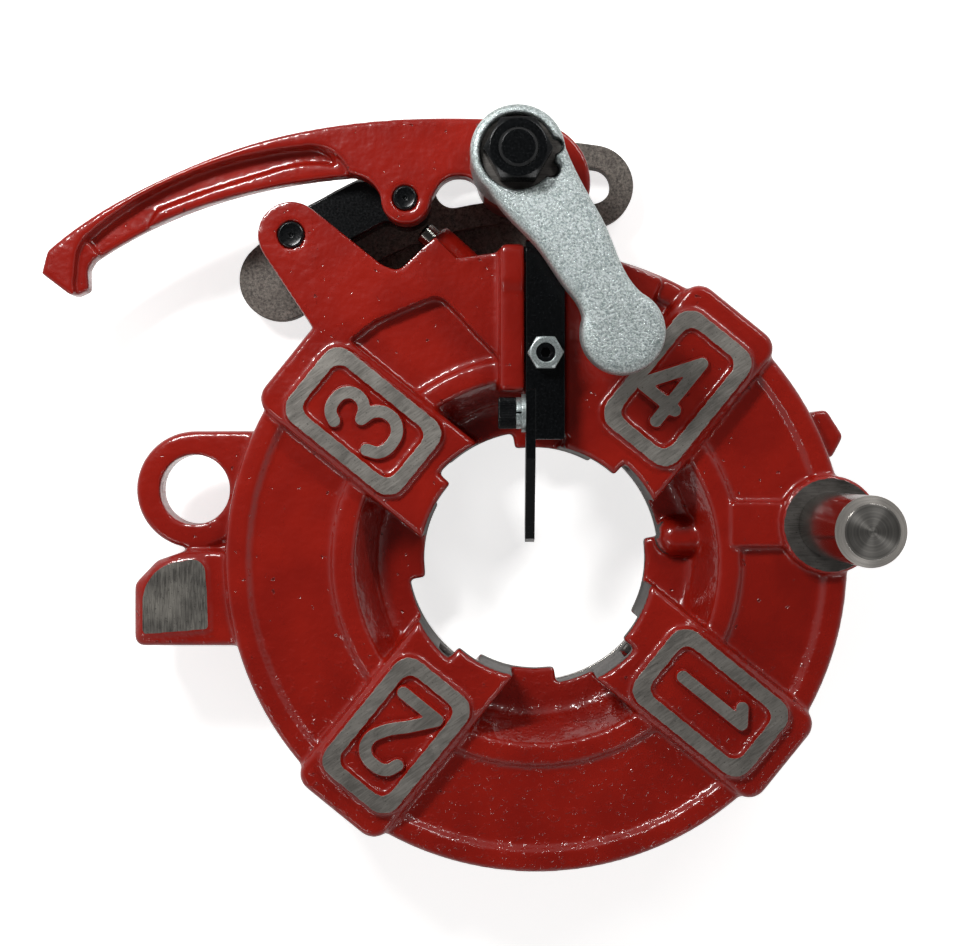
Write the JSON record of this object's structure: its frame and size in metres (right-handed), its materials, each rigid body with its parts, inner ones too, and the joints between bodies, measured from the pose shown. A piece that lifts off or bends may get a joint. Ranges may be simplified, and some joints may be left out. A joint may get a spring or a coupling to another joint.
{
  "type": "pipe threading die head",
  "caption": "Self-opening pipe threading die head with numbered die housings, mounting post, throwout lever on a toggle link, clamp lever and length trigger.",
  "frame": {"origin": "on the pipe axis, in the plane of the back that the head rests on", "axes": "+Z along the pipe axis, towards the numbered side; the mounting post stands along +Z on the +X side; +Y towards the clamp stud"},
  "size_m": [0.3536, 0.3196, 0.1433],
  "materials": {
    "red_enamel": "gloss enamel over cast iron",
    "machined_steel": "turned, lightly oiled",
    "rough_forging": "dark forged scale",
    "black_oxide": "black oxide",
    "zinc_plate": "bright zinc plate",
    "spring_steel": "bright spring wire"
  },
  "bodies": {
    "head": {"head_casting": "red_enamel", "mounting_post": "machined_steel", "post_pin": "spring_steel", "retaining_ring": "machined_steel", "ring_screws": "black_oxide", "frame_pin": "black_oxide", "trigger_pivot_pin": "machined_steel"},
    "cam": {"cam_plate": "rough_forging"},
    "link": {"link": "black_oxide"},
    "lever": {"throwout_lever": "red_enamel", "lever_pin": "black_oxide", "clamp_stud": "black_oxide", "clamp_plate": "machined_steel", "clamp_spacer": "machined_steel"},
    "clamp": {"clamp_lever": "zinc_plate", "lock_washer": "zinc_plate", "clamp_nut": "black_oxide"},
    "trigger": {"trigger_bar": "black_oxide", "trigger_blade": "black_oxide", "trigger_screw": "black_oxide", "spring_washer": "zinc_plate", "flat_washer": "zinc_plate", "adjusting_screw": "black_oxide", "lock_nut": "zinc_plate"},
    "plunger": {"trip_plunger": "machined_steel", "plunger_spring": "spring_steel"}
  },
  "joints": [
    {"name": "link_pivot", "type": "hinge", "parent": "head", "child": "link", "pos_m": [-0.1038, 0.138, 0.037], "axis": [0, 0, 1], "range_deg": [0, 44]},
    {"name": "lever_pivot", "type": "hinge", "parent": "link", "child": "lever", "pos_m": [-0.0556, 0.1533, 0.045], "axis": [0, 0, 1], "range_deg": [-84.5, 0]},
    {"name": "cam_turn", "type": "hinge", "parent": "head", "child": "cam", "pos_m": [0, 0, 0.007], "axis": [0, 0, 1], "range_deg": [0, 9.5]},
    {"name": "clamp_turn", "type": "hinge", "parent": "lever", "child": "clamp", "pos_m": [-0.0087, 0.167, 0.075], "axis": [0, 0, 1], "range_deg": [0, 120]},
    {"name": "trigger_swing", "type": "hinge", "parent": "head", "child": "trigger", "pos_m": [0.0032, 0.129, 0.064], "axis": [-1, 0, 0], "range_deg": [0, 6]},
    {"name": "plunger_slide", "type": "slide", "parent": "head", "child": "plunger", "axis": [-0.7431, 0.6691, 0], "range_m": [0, 0.0015], "stiffness_N_per_m": 400, "springref_m": -0.004}
  ],
  "couplings": [
    {"joint": "lever_pivot", "follows": "link_pivot", "ratio": -1.91},
    {"joint": "cam_turn", "follows": "link_pivot", "ratio": 0.208},
    {"joint": "plunger_slide", "follows": "trigger_swing", "m_per_rad": 0.0134}
  ]
}
